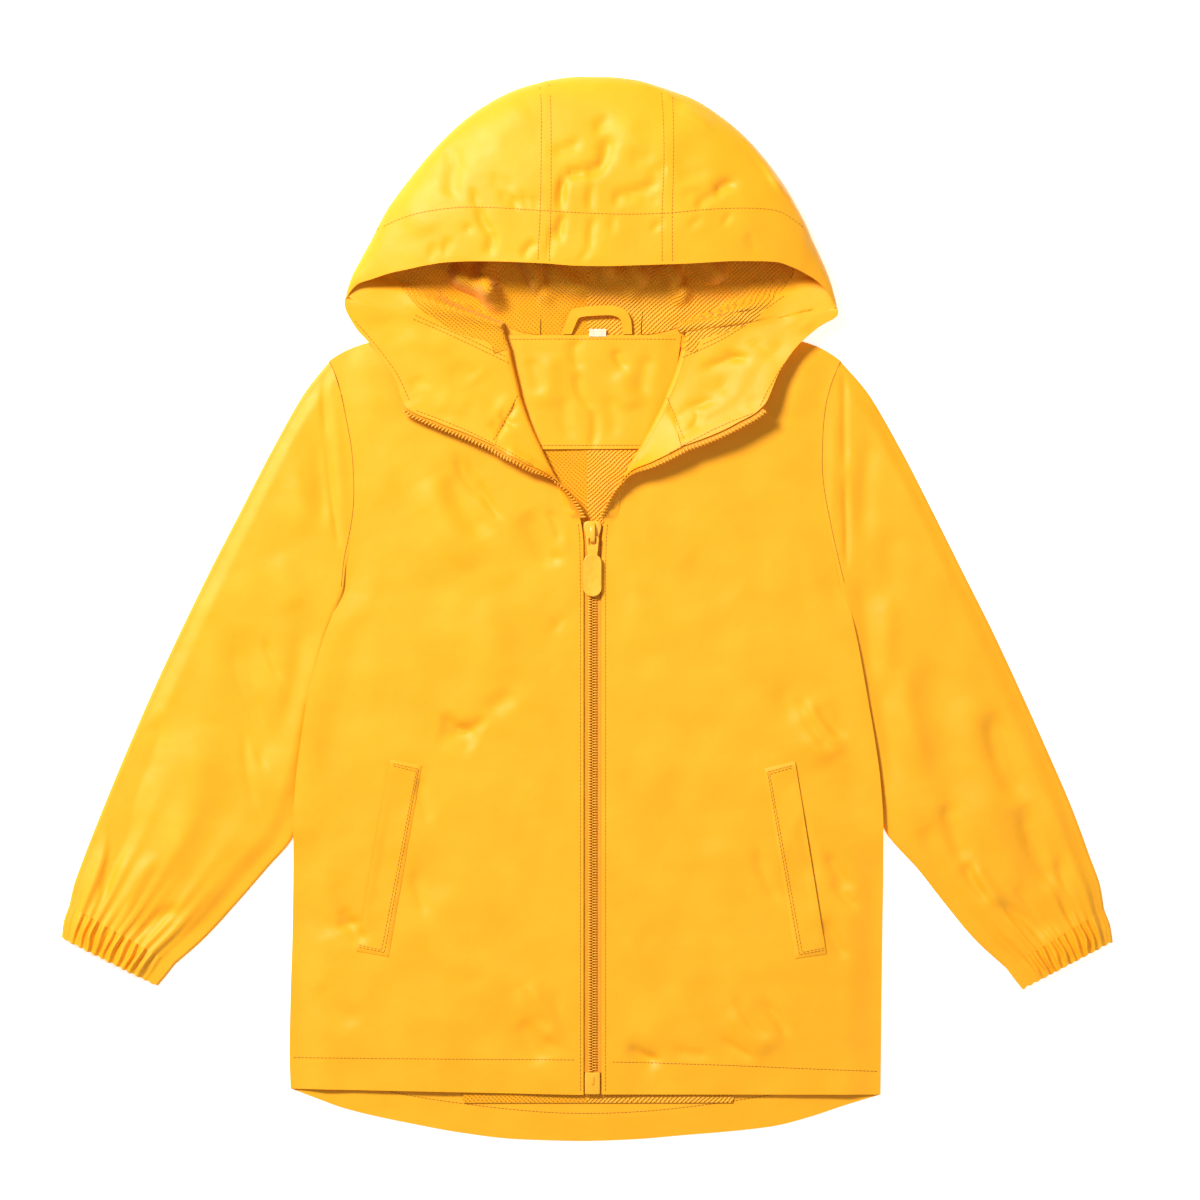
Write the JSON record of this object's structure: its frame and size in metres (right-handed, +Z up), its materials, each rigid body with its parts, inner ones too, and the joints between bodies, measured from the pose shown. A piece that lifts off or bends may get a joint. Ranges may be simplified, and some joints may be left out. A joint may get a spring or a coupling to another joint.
{
  "type": "kids raincoat",
  "caption": "Child's hooded raincoat lying flat, zip half open with its lapels turned out, gathered cuffs, slanted welt pockets and a dropped back hem.",
  "frame": {"origin": "middle of the lying coat's box, on the surface it rests on", "axes": "+Z up from the surface, +Y toward the hood, +X to the right seen from above"},
  "size_m": [0.7363, 0.7427, 0.0391],
  "materials": {
    "shell": "smooth yellow rainwear cloth, soft satin",
    "net": "yellow knitted net lining",
    "zip_tape": "yellow woven tape with moulded coil teeth",
    "painted_metal": "yellow gloss paint",
    "moulding": "yellow moulded plastic",
    "label": "cream satin ribbon"
  },
  "bodies": {
    "garment": {"back": "shell", "front_left": "shell", "front_right": "shell", "front_facing_left": "shell", "front_facing_right": "shell", "sleeve_left": "shell", "sleeve_right": "shell", "cuff_left": "shell", "cuff_right": "shell", "hood_centre": "shell", "hood_side_left": "shell", "hood_side_right": "shell", "hood_facing_centre": "shell", "hood_facing_left": "shell", "hood_facing_right": "shell", "hood_lining_centre": "net", "hood_lining_left": "net", "hood_lining_right": "net", "neck_facing": "shell", "lining_back": "net", "lining_hem": "net", "hanger_loop": "shell", "label": "label", "pocket_welt_left": "shell", "pocket_welt_right": "shell", "zip_chain": "zip_tape", "zip_half_left": "zip_tape", "zip_half_right": "zip_tape", "zip_slider": "painted_metal", "zip_retainer": "moulding"},
    "zip_pull": {"zip_pull": "painted_metal"}
  },
  "joints": [
    {"name": "pull_hinge", "type": "hinge", "parent": "garment", "child": "zip_pull", "pos_m": [0.0035, 0.0506, 0.00905], "axis": [-1, 0, 0], "range_deg": [0, 130]}
  ]
}
